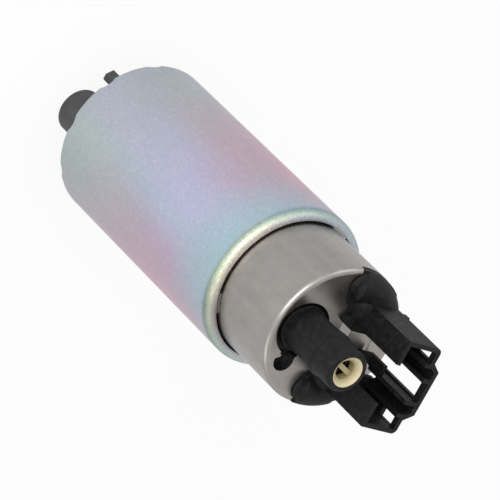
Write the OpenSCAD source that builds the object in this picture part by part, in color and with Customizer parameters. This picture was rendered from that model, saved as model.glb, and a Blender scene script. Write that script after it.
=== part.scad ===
// In-tank electric fuel pump. The pump axis is +Z, the outlet end is up and the
// connector faces +Y. The origin is on the axis at the inlet end of the sleeve.

/* [Steel sleeve] */
// Outer diameter of the plated steel sleeve
sleeve_d = 38; // [37:0.5:42]
// Wall of the sleeve
sleeve_wall = 2; // [1.6:0.1:2.4]
// Length of the sleeve
sleeve_len = 66; // [64:0.1:70]
// Thickness of the rolled lip that holds the inlet cover
crimp_lip_t = 1.2; // [0.8:0.1:1.6]
// How far the rolled lip reaches in from the bore
crimp_lip_reach = 1.4; // [0.8:0.1:1.8]
// Outer radius of the rolled inlet edge
crimp_edge_r = 1.1; // [0.8:0.1:1.5]
// Number of jaw marks round the rolled edge
jaw_count = 10; // [6:1:14]
// Depth of a jaw mark
jaw_depth = 0.5; // [0.1:0.05:0.6]
// Rounding of the outlet mouth of the sleeve
mouth_edge_r = 1.6; // [1:0.1:1.6]
// Number of stakes that lock the can in the sleeve
stake_count = 3; // [2:1:3]
// Width of a stake round the rim
stake_w = 5; // [3:0.5:7]
// Angle of the first stake
stake_angle = 295; // [280:1:310]
// Angle from one stake to the next
stake_pitch = 112; // [100:1:120]

/* [Outlet can] */
// Sheet thickness of the can
can_wall = 0.8; // [0.6:0.1:1]
// Length of the can that stands out of the sleeve
can_reach = 19.3; // [18.3:0.1:24]
// Length of the can inside the sleeve
can_seat_len = 12; // [11.2:0.1:13.7]
// Height of the wide band that grips the sleeve
can_band_len = 6.6; // [5:0.1:7.5]
// Outside radius of the rounded shoulder
can_shoulder_r = 1.2; // [1:0.1:1.6]
// Half width of the web between the tower cut-outs
web_half_w = 2.9; // [2.6:0.1:3.2]
// Height of the raised bridge in the web
web_rise = 1; // [0.6:0.1:1.4]
// Diameter of the opening round the nipple in the end face
nipple_hole_d = 12.8; // [12:0.1:13.2]
// Diameter of the relief lobe beside the nipple opening
lobe_d = 5; // [4:0.1:5.4]

/* [Outlet nipple] */
// Distance of the nipple axis in from the can's side
nipple_in = 8.5; // [8.2:0.1:8.8]
// Diameter of the nipple shank
nipple_d = 9.7; // [9.2:0.1:10]
// Diameter over the barb
barb_d = 10.5; // [10.1:0.1:11]
// Height of the nipple above the end face
nipple_h = 16.9; // [15:0.1:19]
// Height of the barb above the end face
barb_z = 9.9; // [8.5:0.1:11]
// Diameter of the nipple bore
nipple_bore_d = 6.6; // [6.2:0.1:6.8]
// Rounding of the nipple tip
nipple_tip_r = 0.8; // [0.4:0.1:1]

/* [Check valve] */
// Diameter of the outlet passage under the seat
passage_d = 4.4; // [4:0.1:4.8]
// Outer diameter of the valve guide
guide_d = 7.1; // [7:0.1:7.3]
// Length of the valve guide
guide_len = 3; // [2.8:0.1:4]
// Diameter of the opening in the guide
guide_hole_d = 4.5; // [4.2:0.1:4.8]
// Width of the guide cross bar
guide_bar_w = 1.1; // [0.8:0.1:1.4]
// Depth of the cross bar below the guide tip
guide_bar_z = 1.6; // [1.3:0.1:2]
// Turn of the cross bar from the connector direction
guide_turn = 22; // [0:1:90]
// Diameter of the boss inside the valve spring
boss_d = 3.4; // [3:0.1:3.8]
// Length of the wings that guide the valve in the passage
wing_len = 5; // [4:0.5:7]
// Lift of the check valve
check_lift = 2.5; // [1.5:0.1:2.8]

/* [Brush towers] */
// Distance of the centre of a tower in from the can's side
tower_in = 5.9; // [5.6:0.1:6.2]
// Distance of the centre of a tower from the pump axis, towards the connector
tower_y = 4.9; // [4.6:0.1:5.2]
// Turn of the long tower from the connector direction, so that it follows the rim
tower_turn = 21.7; // [18:0.1:25]
// Half of the length of a tower
tower_half_len = 8.9; // [8.5:0.1:9.2]
// Radius of the rounded back of a tower
tower_r = 4.6; // [4.4:0.1:4.9]
// Radius of the rounded ends of a tower
tower_end_r = 3; // [2.6:0.1:3.4]
// Width of a brush across the tower
brush_w = 4; // [3.6:0.1:4.1]
// Depth of a brush along the connector direction
brush_t = 4.2; // [3.8:0.1:4.4]
// Length of a brush
brush_len = 9.5; // [8:0.1:11]
// Distance of the brush centre in from the commutator's edge
brush_in = 2.5; // [2.3:0.1:2.7]
// Distance of the brush centre from the pump axis, towards the connector
brush_y = 2.8; // [2.6:0.1:3]

/* [Connector] */
// Outer width of the shroud
conn_w = 21; // [20.6:0.1:21.6]
// Wall of the shroud
conn_wall = 1.1; // [0.9:0.1:1.3]
// Distance of the front wall from the pump axis
conn_front_y = 2.3; // [2.1:0.1:2.6]
// Distance of the corner back walls from the pump axis
conn_back_y = 12.1; // [11.8:0.1:12.6]
// Distance of the latch wall from the pump axis
latch_back_y = 14.4; // [14.1:0.1:15]
// Height of the shroud mouth above the end face
conn_h = 17.7; // [16.5:0.1:19]
// Half of the gap in the front wall
front_gap = 4.7; // [4.4:0.1:5]
// Height of the socket floor above the end face
floor_z = 5; // [4.8:0.1:5.6]
// Thickness of the socket floor
floor_t = 1.6; // [1.2:0.1:1.8]
// Width of a terminal blade
blade_w = 2.8; // [2.4:0.1:3]
// Thickness of a terminal blade
blade_t = 0.8; // [0.5:0.1:0.8]
// Height of the blade tip above the end face
blade_h = 11.7; // [10:0.1:12.5]
// Half width of the latch window
latch_win_half = 2; // [1.6:0.1:2.3]
// Height of the bar over the latch window
latch_bar_h = 1.9; // [1.5:0.1:2.4]

/* [Relief valve] */
// Distance of the relief bore in from the can's side
relief_in = 5.24; // [5.1:0.02:5.4]
// Turn of the relief bore from the middle between the towers
relief_turn = 52.2; // [51:0.2:53]
// Diameter of the relief bore
relief_bore_d = 3.2; // [3:0.1:3.3]
// Diameter of the relief ball
relief_ball_d = 2.8; // [2.4:0.1:2.8]

/* [Inlet cover] */
// Distance of the inlet stub from the pump axis
stub_off = 10.85; // [10.4:0.05:11]
// Outer diameter of the inlet stub
stub_d = 10.65; // [10:0.05:11]
// Bore of the inlet stub
stub_bore_d = 7.2; // [6.6:0.1:7.4]
// Length of the stub below the sleeve
stub_len = 8.9; // [6:0.1:12]
// Thickness of the flange inside the sleeve
cover_flange_t = 4.8; // [4.4:0.1:6]
// Height of the cover face below the sleeve
cover_face_h = 1.4; // [1:0.1:2]
// Width of the locating tab
tab_w = 2.8; // [2:0.1:3.4]
// Thickness of the locating tab
tab_t = 1.3; // [1.1:0.1:1.4]
// Length of the locating tab below the sleeve
tab_len = 6.7; // [4:0.1:8]
// Place of the locating tab round the cover
tab_angle = 223; // [215:1:230]

/* [Pump section] */
// Height of the pump housing
housing_h = 11; // [10.5:0.1:13]
// Diameter of the impeller
impeller_d = 28.9; // [27:0.1:29.1]
// Thickness of the impeller
impeller_t = 2.9; // [2.5:0.1:3.2]
// Number of impeller vanes
vane_count = 36; // [24:1:43]
// Length of a vane pocket in from the rim
vane_len = 3.4; // [2.8:0.1:3.6]
// Radius of the side channel groove
channel_r = 1.7; // [1.4:0.1:1.8]

/* [Motor] */
// Diameter of the shaft
shaft_d = 4; // [3.6:0.1:4.2]
// Thickness of a magnet
magnet_t = 3.5; // [3:0.1:3.6]
// Arc of a magnet in degrees
magnet_arc = 136; // [120:1:146]
// Air gap between armature and magnets
air_gap = 0.6; // [0.5:0.05:0.9]
// Number of armature slots and commutator bars
slot_count = 10; // [8:1:12]
// Length of the end turns above and below the core
end_turn_len = 6; // [5:0.1:6.5]
// Width of the commutator's running face
comm_face_w = 4.8; // [4.6:0.1:5.2]
// Thickness of the commutator bars
comm_bar_t = 3.5; // [2.5:0.1:4]
// Outer diameter of the bearings
bearing_d = 8; // [7.4:0.1:8.4]

/* [Clearances] */
// Radial running clearance of the shaft in its bearings
run_gap = 0.03; // [0.02:0.01:0.06]
// Radial gap where a fixed part sits in a bore
fit_gap = 0.1; // [0.05:0.01:0.14]
// Gap between the can and the mouth of the sleeve
can_gap = 0.5; // [0.3:0.05:0.8]
// Gap between the commutator and the skirt of the moulding
comm_gap = 0.7; // [0.5:0.1:1]
// Gap round inserts in the moulding
insert_gap = 0.05; // [0.03:0.01:0.1]
// Gap on each side of the impeller
impeller_gap = 0.1; // [0.06:0.01:0.2]
// Gap between the moulding and the edges of the cut-outs
cutout_gap = 0.15; // [0.1:0.01:0.3]

/* [Hidden] */
$fn = 72;
// Small overlap that keeps unions and cuts clean
eps = 0.01;
sleeve_r = sleeve_d / 2;
bore_r = sleeve_r - sleeve_wall;
lip_r = bore_r - crimp_lip_reach;
can_r = bore_r - can_gap;
can_in_r = can_r - can_wall;
can_z0 = sleeve_len - can_seat_len;
face_z = sleeve_len + can_reach;
band_r = bore_r - fit_gap;
band_step = 0.7;
under_z = face_z - can_wall;
cover_r = can_in_r - fit_gap;
skirt_r = cover_r - 1.7;
comm_r = skirt_r - comm_gap;
// Levels up the pump section
cover_z1 = crimp_lip_t + cover_flange_t;
housing_z1 = cover_z1 + housing_h;
impeller_z0 = cover_z1 + impeller_gap;
impeller_z1 = impeller_z0 + impeller_t;
recess_z1 = impeller_z1 + impeller_gap;
recess_r = impeller_d / 2 + 0.3;
channel_mid = impeller_d / 2 - 1.9;
pocket_z0 = housing_z1 - 4;
plate_seal_z = recess_z1 + 2.5;
seal_wire_r = 0.9;
// Levels of the motor
magnet_in_r = bore_r - fit_gap - magnet_t;
core_r = magnet_in_r - air_gap;
comm_top = face_z - 21.3;
comm_z0 = comm_top - comm_bar_t;
hub_plate_t = 1.8;
hub_z0 = comm_z0 - hub_plate_t - 1.6;
insulator_t = 0.8;
turns_top = hub_z0 - 0.1;
core_z1 = turns_top - end_turn_len - insulator_t;
core_z0 = housing_z1 + 1.5 + end_turn_len + insulator_t;
turns_bottom = core_z0 - insulator_t - end_turn_len;
slot_r0 = shaft_d / 2 + 3.2;
slot_r1 = core_r - 1;
comm_in_r = comm_r - comm_face_w;
hub_r = comm_in_r - 2.4;
// Levels inside the outlet moulding
cavity_z1 = comm_top + 4;
brush_z0 = comm_top + 0.05;
brush_z1 = brush_z0 + brush_len;
tube_z0 = comm_top + 1;
brush_gap = 0.1;
brush_x = comm_r - brush_in;
chamber_z1 = face_z + 0.9;
strap_t = 0.8;
strap_z0 = chamber_z1 - strap_t;
bearing_len = 7;
bearing_r = bearing_d / 2;
top_bearing_z0 = cavity_z1 + 1;
top_bearing_z1 = top_bearing_z0 + bearing_len;
low_bearing_z0 = recess_z1 + 1;
low_bearing_z1 = housing_z1;
shaft_z0 = cover_z1 - 2.6;
shaft_z1 = top_bearing_z1 + 1.5;
flat_h = shaft_d / 2 - 0.5;
cover_seal_z = face_z - 10.6;
groove_r = cover_r - 1.8;
choke_x = can_r - 9.9;
choke_y = can_r - 8.3;
choke_z0 = cavity_z1 + 2.5;
choke_z1 = under_z - 1.3;
choke_core_r = 1.2;
choke_wire = 0.45;
choke_bore_r = 2.1;
// Levels of the outlet nipple and check valve
tip_z = face_z + nipple_h;
seat_z = face_z - 1.8;
seat_rise = 1.1;
nipple_off = can_r - nipple_in;
nipple_bore_r = nipple_bore_d / 2;
guide_z1 = tip_z - 0.05;
guide_z0 = guide_z1 - guide_len;
bar_z1 = guide_z1 - guide_bar_z;
bar_z0 = bar_z1 - 1.3;
poppet_top = seat_z + seat_rise + 1.5;
boss_z1 = bar_z0 - check_lift - 0.4;
// Levels of the relief valve
relief_x = (can_r - relief_in) * cos(relief_turn);
relief_y = (can_r - relief_in) * sin(relief_turn);
relief_seat_z = cavity_z1 + 8;
relief_bore_r = relief_bore_d / 2;
relief_ball_r = relief_ball_d / 2;
relief_port_r = 0.9;
relief_ball_z = relief_seat_z + 1.55;
sunk_z = under_z - 1.4;
relief_plug_z0 = sunk_z - 2;
relief_plug_z1 = sunk_z - 0.1;
// Levels and plan of the brush towers
tower_x = can_r - tower_in;
tower_z = face_z - 1.25;
tower_back_r = (pow(tower_half_len - tower_end_r, 2) + pow(tower_r, 2) - pow(tower_end_r, 2))
    / (2 * (tower_r - tower_end_r));
notch_z = face_z - can_shoulder_r - 0.3;
// The nipple opening leaves a narrow strip of flat at the rim
nipple_hole_y = can_r - can_shoulder_r - 0.12 - nipple_hole_d / 2;
foot_x = can_r - 4.6;
front_x = foot_x + 0.5;
foot_y = 2;
foot_r = 4.85;
rim_cut_y0 = -1.5;
rim_cut_y1 = 11.4;
// Corners of the connector shroud
conn_half = conn_w / 2;
conn_in_half = conn_half - conn_wall;
conn_top = face_z + conn_h;
floor_top = face_z + floor_z;
floor_bottom = floor_top - floor_t;
latch_half = 5.3;
step_x = 7;
conn_corner_r = 1.3;
blade_x = choke_x + 0.8;
blade_y = choke_y - 1.2;
// Tail of the brush strap that reaches the choke
tail_x = choke_x - choke_core_r;
tail_y = choke_y - 0.8;
// Springs: wire, mean radius and turns
brush_spring_wire = 0.55;
brush_spring_r = 1.55;
brush_spring_turns = 9;
check_spring_wire = 0.4;
check_spring_r = 2.7;
check_spring_turns = 8;
relief_spring_wire = 0.3;
relief_spring_r = 0.95;
relief_spring_turns = 4;

// Round bar between two heights, with an optional place in the plane
module bar(r, z0, z1, x = 0, y = 0) {
    translate([x, y, z0]) cylinder(r = r, h = z1 - z0);
}

// Tube between two heights
module tube(ro, ri, z0, z1) {
    translate([0, 0, z0]) difference() {
        cylinder(r = ro, h = z1 - z0);
        translate([0, 0, -1]) cylinder(r = ri, h = z1 - z0 + 2);
    }
}

// Upright block between two corners
module block(x0, x1, y0, y1, z0, z1) {
    translate([x0, y0, z0]) cube([x1 - x0, y1 - y0, z1 - z0]);
}

// Square in a profile, between two corners
module pane(x0, x1, y0, y1) {
    translate([x0, y0]) square([x1 - x0, y1 - y0]);
}

// Frame points round one place of a coil
function coil_point(r, w, a, z, slope, b) =
    let(c = r + w * cos(b), s = w * sin(b))
    [c * cos(a) + s * sin(slope) * sin(a),
     c * sin(a) - s * sin(slope) * cos(a),
     z + s * cos(slope)];

// Compression coil from z0 to z1 with closed ends, swept as one tube
module coil(r, wire, turns, z0, z1) {
    sides = 6;
    steps = 10;
    last = turns * steps;
    rise = z1 - z0 - wire;
    slope = atan(rise / turns / (2 * PI * r));
    points = [for (i = [0:last], k = [0:sides - 1])
        coil_point(r, wire / 2, 360 * i / steps,
            z0 + wire / 2 + rise * i / last, slope, 360 * k / sides)];
    walls = [for (i = [0:last - 1], k = [0:sides - 1])
        let(a = i * sides + k, b = i * sides + (k + 1) % sides)
        each [[a, a + sides, b + sides], [a, b + sides, b]]];
    first_cap = [for (k = [1:sides - 2]) [0, k, k + 1]];
    end_cap = [for (k = [1:sides - 2])
        [last * sides, last * sides + k + 1, last * sides + k]];
    polyhedron(points, concat(walls, first_cap, end_cap));
}

// Profile of the sleeve, from the axis out
module sleeve_profile() {
    difference() {
        union() {
            pane(lip_r, sleeve_r, crimp_edge_r, sleeve_len - mouth_edge_r);
            pane(lip_r, sleeve_r - mouth_edge_r, crimp_edge_r, sleeve_len - 0.3);
            pane(bore_r + 0.3, sleeve_r - mouth_edge_r + eps, sleeve_len - 0.5, sleeve_len);
            translate([bore_r + 0.3, sleeve_len - 0.3]) circle(0.3);
            pane(lip_r, sleeve_r - crimp_edge_r, 0, crimp_edge_r + eps);
            translate([sleeve_r - crimp_edge_r, crimp_edge_r]) circle(crimp_edge_r);
            translate([sleeve_r - mouth_edge_r, sleeve_len - mouth_edge_r])
                circle(mouth_edge_r);
        }
        pane(0, bore_r, crimp_lip_t, sleeve_len + 1);
        pane(0, lip_r, -1, crimp_lip_t + 1);
    }
}

module flux_sleeve() {
    stake_z1 = sleeve_len - 0.25;
    stake_a = stake_w / bore_r * 180 / PI;
    jaw_r = 5;
    edge = crimp_edge_r * (1 - cos(45));
    reach = (jaw_r - jaw_depth) * cos(45);
    color([0.66, 0.69, 0.74]) {
        difference() {
            rotate_extrude() sleeve_profile();
            for (i = [0:jaw_count - 1])
                rotate([0, 0, 360 * (i + 0.5) / jaw_count])
                    translate([sleeve_r - edge + reach, 0, edge - reach])
                        rotate([0, 45, 0])
                            translate([0, 0, -jaw_r]) cylinder(r = jaw_r, h = 2 * jaw_r);
        }
        for (i = [0:stake_count - 1])
            rotate([0, 0, stake_angle + stake_pitch * i - stake_a / 2])
                rotate_extrude(angle = stake_a)
                    polygon([[bore_r + 0.4, stake_z1], [can_r + 0.08, stake_z1 - 0.3],
                        [can_r + 0.08, stake_z1 - 0.7], [bore_r + 0.05, stake_z1 - 2.5]]);
    }
}

// Outline of one tower cut-out at +X; gap draws it smaller all round
module tower_cutout(gap) {
    translate([foot_x, foot_y]) circle(foot_r + cutout_gap - gap);
    polygon([[web_half_w + gap, 10.5 - gap], [web_half_w + gap, 2.6],
        [3.5 + gap, 1.1], [4.7 + gap, -1.5 + gap], [5.7, -0.7 + gap],
        [foot_x, -0.7 + gap], [foot_x, 10.5 - gap]]);
    pane(foot_x, can_r + 2, rim_cut_y0 + gap, rim_cut_y1 - gap);
    pane(foot_x - 1.7 + gap, foot_x + 1, 6, rim_cut_y1 - gap);
}

// Opening round the nipple with its relief lobe and the small hooked tongue
module nipple_cutout() {
    translate([0, -nipple_hole_y]) circle(nipple_hole_d / 2);
    translate([relief_x, -relief_y]) difference() {
        union() {
            translate([0.85, -0.35]) circle(lobe_d / 2);
            polygon([[-2.4, 3.9], [-0.3, 1.9], [0.1, -0.1], [-2.9, -1.1]]);
        }
        polygon([[-1.3, -4.6], [1.5, -4.3], [0.6, -2.5], [0.3, -2], [-0.3, -2],
            [-0.6, -2.4], [-0.4, -3.1]]);
        translate([-0.05, -2.15]) circle(0.42);
    }
}

// Profile of the can, from the axis out
module can_profile() {
    r = can_shoulder_r;
    ri = can_shoulder_r - can_wall;
    step_z = can_z0 + can_band_len;
    difference() {
        union() {
            pane(0, can_r, step_z, face_z - r);
            pane(0, can_r - r, step_z, face_z);
            translate([can_r - r, face_z - r]) circle(r);
            pane(0, band_r, can_z0, step_z);
            polygon([[0, step_z], [band_r, step_z], [can_r, step_z + band_step],
                [0, step_z + band_step]]);
        }
        pane(-1, can_in_r, step_z + band_step - 1, under_z - ri);
        pane(-1, can_in_r - ri, can_z0, under_z);
        translate([can_in_r - ri, under_z - ri]) circle(ri);
        pane(-1, band_r - can_wall, can_z0 - 1, step_z - 0.3);
        polygon([[-1, step_z - 0.31], [band_r - can_wall, step_z - 0.31],
            [can_in_r, step_z + band_step - 0.3], [-1, step_z + band_step - 0.3]]);
    }
}

// Raised bridge of the web, as bent sheet seen from the side; the cut-outs trim it
module web_bridge() {
    y0 = 0.4;
    y1 = 2.6;
    y2 = 8.2;
    y3 = 10.2;
    shift = 0.25;
    end = 0.6;
    half = 6;
    top = face_z - 0.04;
    low = under_z + 0.04;
    rotate([90, 0, 90]) translate([0, 0, -half]) linear_extrude(2 * half)
        polygon([[y0, top], [y1, top + web_rise], [y2, top + web_rise], [y3, top],
            [y3 + end, top], [y3 + end, low], [y3 - shift, low],
            [y2 - shift, low + web_rise], [y1 + shift, low + web_rise],
            [y0 + shift, low], [y0 - end, low], [y0 - end, top]]);
}

module outlet_can() {
    color([0.66, 0.64, 0.61]) difference() {
        union() {
            difference() {
                rotate_extrude() can_profile();
                block(-5.9, 5.9, 0.1, 10.4, under_z - 1, face_z + 1);
            }
            web_bridge();
        }
        translate([0, 0, notch_z]) linear_extrude(6) {
            tower_cutout(0);
            mirror([1, 0]) tower_cutout(0);
        }
        translate([0, 0, under_z - 1]) linear_extrude(6) nipple_cutout();
    }
}

// Outer form of the nipple, turned about its own axis
module nipple_body() {
    r = nipple_d / 2;
    z0 = under_z - 2;
    translate([0, -nipple_off, 0]) rotate_extrude() {
        pane(0, r - nipple_tip_r, z0, tip_z);
        pane(0, r, z0, tip_z - nipple_tip_r);
        translate([r - nipple_tip_r, tip_z - nipple_tip_r]) circle(nipple_tip_r);
        polygon([[0, z0], [r + 0.65, z0], [r + 0.65, face_z - 0.8], [r + 0.4, face_z - 0.5],
            [r + 0.1, face_z - 0.5], [r - 0.05, face_z], [r - 0.05, face_z + 4.5],
            [barb_d / 2 - 0.15, face_z + barb_z - 2], [barb_d / 2, face_z + barb_z - 0.9],
            [barb_d / 2, face_z + barb_z - 0.1], [r - 0.02, face_z + barb_z + 0.7],
            [0, face_z + barb_z + 0.7]]);
    }
}

// Long domed tower at +X that follows the rim, cut by the can circle
module tower() {
    reach = tower_half_len - tower_end_r;
    span = tower_half_len - tower_end_r * (1 - reach / (tower_back_r - tower_end_r));
    front_r = 4.6;
    front_z = face_z + 1.4;
    round_r = 2.2;
    ring_r = 3.8;
    ring_mid = can_r - cutout_gap + 0.05 - ring_r;
    intersection() {
        translate([tower_x, tower_y, tower_z]) rotate([-90, 0, tower_turn])
            rotate_extrude() intersection() {
                pane(0, tower_r, -tower_half_len, tower_half_len);
                union() {
                    intersection() {
                        translate([tower_r - tower_back_r, 0]) circle(tower_back_r);
                        pane(0, tower_r, -span, span);
                    }
                    for (s = [-1, 1]) translate([0, s * reach]) circle(tower_end_r);
                }
            }
        bar(can_r - cutout_gap, face_z + 0.15, face_z + 20);
    }
    // Upright front of the tower, level with the can wall at the rim
    intersection() {
        translate([front_x, 2.2, 0]) rotate_extrude() {
            pane(0, front_r, under_z, front_z);
            pane(0, front_r - round_r, under_z, front_z + round_r);
            translate([front_r - round_r, front_z]) circle(round_r);
        }
        rotate_extrude() translate([ring_mid, face_z - 0.6]) circle(ring_r);
    }
}

// Half outline of the shroud walls at +X, seen from the mouth
module shroud_outline(half, front, back, latch_y, latch_x, step, corner) {
    polygon([[-0.1, front], [half, front], [half, back - corner],
        [half - corner, back], [step, back], [latch_x, latch_y], [-0.1, latch_y]]);
    translate([half - corner, back - corner]) circle(corner);
}

module shroud_walls() {
    difference() {
        shroud_outline(conn_half, conn_front_y, conn_back_y, latch_back_y,
            latch_half, step_x, conn_corner_r);
        shroud_outline(conn_in_half, conn_front_y + conn_wall, conn_back_y - conn_wall,
            latch_back_y - conn_wall, latch_half - 0.45, step_x - 0.45, 0.4);
        pane(-1, front_gap, conn_front_y - 1, conn_front_y + conn_wall + 1);
    }
}

// Half of the connector shroud at +X
module shroud_half() {
    wall = conn_wall;
    low_z = face_z + 1.3;
    shoulder_r = 4.2;
    shoulder_z = face_z - 0.4;
    difference() {
        union() {
            translate([0, 0, face_z]) linear_extrude(conn_h) shroud_walls();
            block(front_gap, conn_half, conn_front_y, conn_back_y - 0.2, floor_bottom,
                floor_top);
            block(4.9, conn_in_half, conn_front_y, 9, under_z - 0.5, floor_top);
        }
        // The back walls stop short of the can
        block(-1, conn_half + 1, conn_back_y - wall - 0.02, latch_back_y + 1, face_z - 1,
            face_z + 3.4);
        block(conn_in_half - 0.02, conn_half + 1, 6.2, latch_back_y + 1, face_z - 1, low_z);
        // Side latch window
        block(step_x + 0.2, conn_in_half - 0.1, conn_back_y - wall - 1, conn_back_y + 1,
            conn_top - 5.7, conn_top - 1.5);
        // Middle latch window, open at the bottom
        block(-1, latch_win_half, latch_back_y - wall - 1, latch_back_y + 1, face_z,
            conn_top - latch_bar_h);
    }
    // Divider between the corner socket and the middle channel
    block(step_x - 1.3, step_x - 0.4, 9.9, conn_back_y + 0.3, face_z + 3.4, conn_top);
    // Foot of the front wall, flared towards the web
    translate([0, conn_front_y + wall, 0]) rotate([90, 0, 0]) linear_extrude(wall)
        polygon([[web_half_w + 0.2, face_z], [front_gap + 0.5, face_z - 0.5],
            [front_gap + 0.5, face_z + 6], [front_gap - 0.1, face_z + 5],
            [front_gap - 0.6, face_z + 3.4], [front_gap - 1.25, face_z + 1.6]]);
    // Domed shoulder in front of the front wall, and the low prong beside the web
    intersection() {
        translate([9.1, conn_front_y + 1, 0]) rotate_extrude() {
            pane(0, shoulder_r, under_z, shoulder_z);
            intersection() {
                translate([0, shoulder_z]) circle(shoulder_r);
                pane(0, shoulder_r, under_z, shoulder_z + shoulder_r);
            }
        }
        block(4.8, 10.4, -2, conn_front_y + 0.1, under_z, face_z + 5);
    }
    translate([0, 0, under_z]) linear_extrude(can_wall + 1.3) intersection() {
        tower_cutout(cutout_gap);
        pane(0, 6, -2, conn_front_y + wall);
    }
}

// Plastic that fills one tower cut-out
module cutout_land() {
    intersection() {
        translate([0, 0, notch_z + 0.15]) linear_extrude(face_z + 0.2 - notch_z - 0.15)
            tower_cutout(cutout_gap);
        bar(can_r - cutout_gap, under_z - 2, face_z + 1);
    }
}

// Ribs in the middle channel and the leg that stands on the web
module channel_ribs() {
    inner_y = latch_back_y - conn_wall + 0.1;
    block(-3.2, -2.2, 11.6, inner_y, face_z + 3.4, conn_top);
    block(2.4, 3.4, 9.9, inner_y, face_z + 3.4, conn_top);
    intersection() {
        rotate([90, 0, 90]) linear_extrude(5)
            polygon([[7.3, face_z + web_rise + 0.1], [8.1, face_z + web_rise + 0.1],
                [9.5, face_z + 1.5], [11, face_z + 1.4], [11, face_z + 7.3],
                [9.9, face_z + 7.3], [9.8, face_z + 3.4], [9.0, face_z + 2.3],
                [7.5, face_z + web_rise + 0.8]]);
        // The leg narrows to a rounded tip
        rotate([90, 0, 0]) translate([0, 0, -12]) linear_extrude(6) {
            translate([1, face_z + 1.7]) circle(0.7);
            polygon([[0.3, face_z + 1.7], [1.6, face_z + 1.3], [2.7, face_z + 3.4],
                [2.7, face_z + 8], [0.3, face_z + 8]]);
        }
    }
}

// Everything that is moulded in one with the outlet, before it is hollowed
module moulding_solid() {
    chamfer = 0.5;
    difference() {
        rotate_extrude() polygon([[0, can_z0], [cover_r, can_z0],
            [cover_r, under_z - chamfer], [cover_r - chamfer, under_z], [0, under_z]]);
        bar(skirt_r, can_z0 - 1, cavity_z1);
        // Sunk floor round the nipple
        translate([0, 0, sunk_z]) linear_extrude(3) nipple_cutout();
    }
    for (side = [0, 1]) mirror([side, 0, 0]) {
        block(brush_x - brush_w / 2 - 0.9, brush_x + brush_w / 2 + 0.3,
            brush_y - brush_t / 2 - 0.9, brush_y + brush_t / 2 + 0.9, tube_z0,
            cavity_z1 + 1);
        tower();
        cutout_land();
        shroud_half();
    }
    bar(bearing_r + 1.2, cavity_z1 - 2, cavity_z1 + 1);
    nipple_body();
    channel_ribs();
}

// Socket space over the floor, so that the towers do not fill it
module socket_space() {
    translate([0, 0, floor_top]) linear_extrude(conn_h) {
        difference() {
            pane(front_gap - 0.3, conn_in_half, conn_front_y + conn_wall,
                conn_back_y - conn_wall);
            pane(step_x - 1.3, step_x - 0.4, 9.9, conn_back_y);
        }
    }
}

// Slots that the terminal and the brush strap fill, at +X
module insert_slots(gap) {
    block(blade_x - blade_t / 2 - gap, blade_x + blade_t / 2 + gap,
        blade_y - blade_w / 2 - gap, blade_y + blade_w / 2 + gap,
        choke_z1 + gap, floor_top + 1);
    translate([0, 0, strap_z0 - gap]) linear_extrude(strap_t + 2 * gap)
        strap_outline(gap);
    block(tail_x - gap, tail_x + strap_t + gap, tail_y - gap, tail_y + 0.9 + gap,
        choke_z1 - gap, strap_z0 + gap);
}

module strap_outline(gap) {
    pane(brush_x - brush_w / 2 - gap, brush_x + brush_w / 2 + gap,
        brush_y - brush_t / 2 - gap, brush_y + brush_t / 2 + gap);
    pane(tail_x - gap, brush_x, brush_y - 0.3 - gap, brush_y + 0.6 + gap);
    pane(tail_x - gap, tail_x + strap_t + gap, brush_y - 0.3 - gap, tail_y + 0.9 + gap);
}

module outlet_moulding() {
    seat_r = passage_d / 2;
    color([0.16, 0.16, 0.17]) difference() {
        moulding_solid();
        // Seal groove
        tube(cover_r + 2, groove_r, cover_seal_z - 1.3, cover_seal_z + 1.3);
        // Bearing pocket with room over the shaft end
        bar(bearing_r + insert_gap, cavity_z1 - 3, top_bearing_z1);
        bar(shaft_d / 2 + 0.6, cavity_z1, shaft_z1 + 0.8);
        // Outlet passage, valve seat and nipple bore
        bar(seat_r, cavity_z1 - 1, seat_z + 1, 0, -nipple_off);
        translate([0, -nipple_off, 0]) rotate_extrude()
            polygon([[0, seat_z], [seat_r, seat_z],
                [nipple_bore_r, seat_z + seat_rise], [0, seat_z + seat_rise]]);
        bar(nipple_bore_r, seat_z + seat_rise - eps, tip_z + 1, 0, -nipple_off);
        bar(guide_d / 2 + insert_gap, guide_z0, tip_z + 1, 0, -nipple_off);
        // Relief port and bore
        bar(relief_port_r, cavity_z1 - 1, relief_seat_z + 1, relief_x, -relief_y);
        translate([relief_x, -relief_y, 0]) rotate_extrude()
            polygon([[0, relief_seat_z], [relief_port_r, relief_seat_z],
                [relief_bore_r, relief_seat_z + 0.7], [0, relief_seat_z + 0.7]]);
        bar(relief_bore_r, relief_seat_z + 0.7 - eps, face_z + 1, relief_x, -relief_y);
        for (side = [0, 1]) mirror([side, 0, 0]) {
            block(brush_x - brush_w / 2 - brush_gap, brush_x + brush_w / 2 + brush_gap,
                brush_y - brush_t / 2 - brush_gap, brush_y + brush_t / 2 + brush_gap,
                tube_z0 - 1, chamber_z1 + insert_gap);
            bar(choke_bore_r, choke_z0 - 0.2, choke_z1 + 0.2, choke_x, choke_y);
            insert_slots(insert_gap);
            socket_space();
        }
    }
}

module valve_guide() {
    r = guide_d / 2;
    hole_r = guide_hole_d / 2;
    color([0.88, 0.84, 0.70]) translate([0, -nipple_off, 0]) {
        rotate_extrude() difference() {
            pane(0, r, guide_z0, guide_z1);
            polygon([[0, guide_z1 + 1], [r - 0.1, guide_z1 + 1], [r - 0.1, guide_z1 + 0.001],
                [hole_r, guide_z1 - 1.1], [hole_r, guide_z0 - 1], [0, guide_z0 - 1]]);
        }
        rotate([0, 0, -guide_turn]) block(-guide_bar_w / 2, guide_bar_w / 2,
            -hole_r - 0.2, hole_r + 0.2, bar_z0, bar_z1);
    }
}

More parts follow.
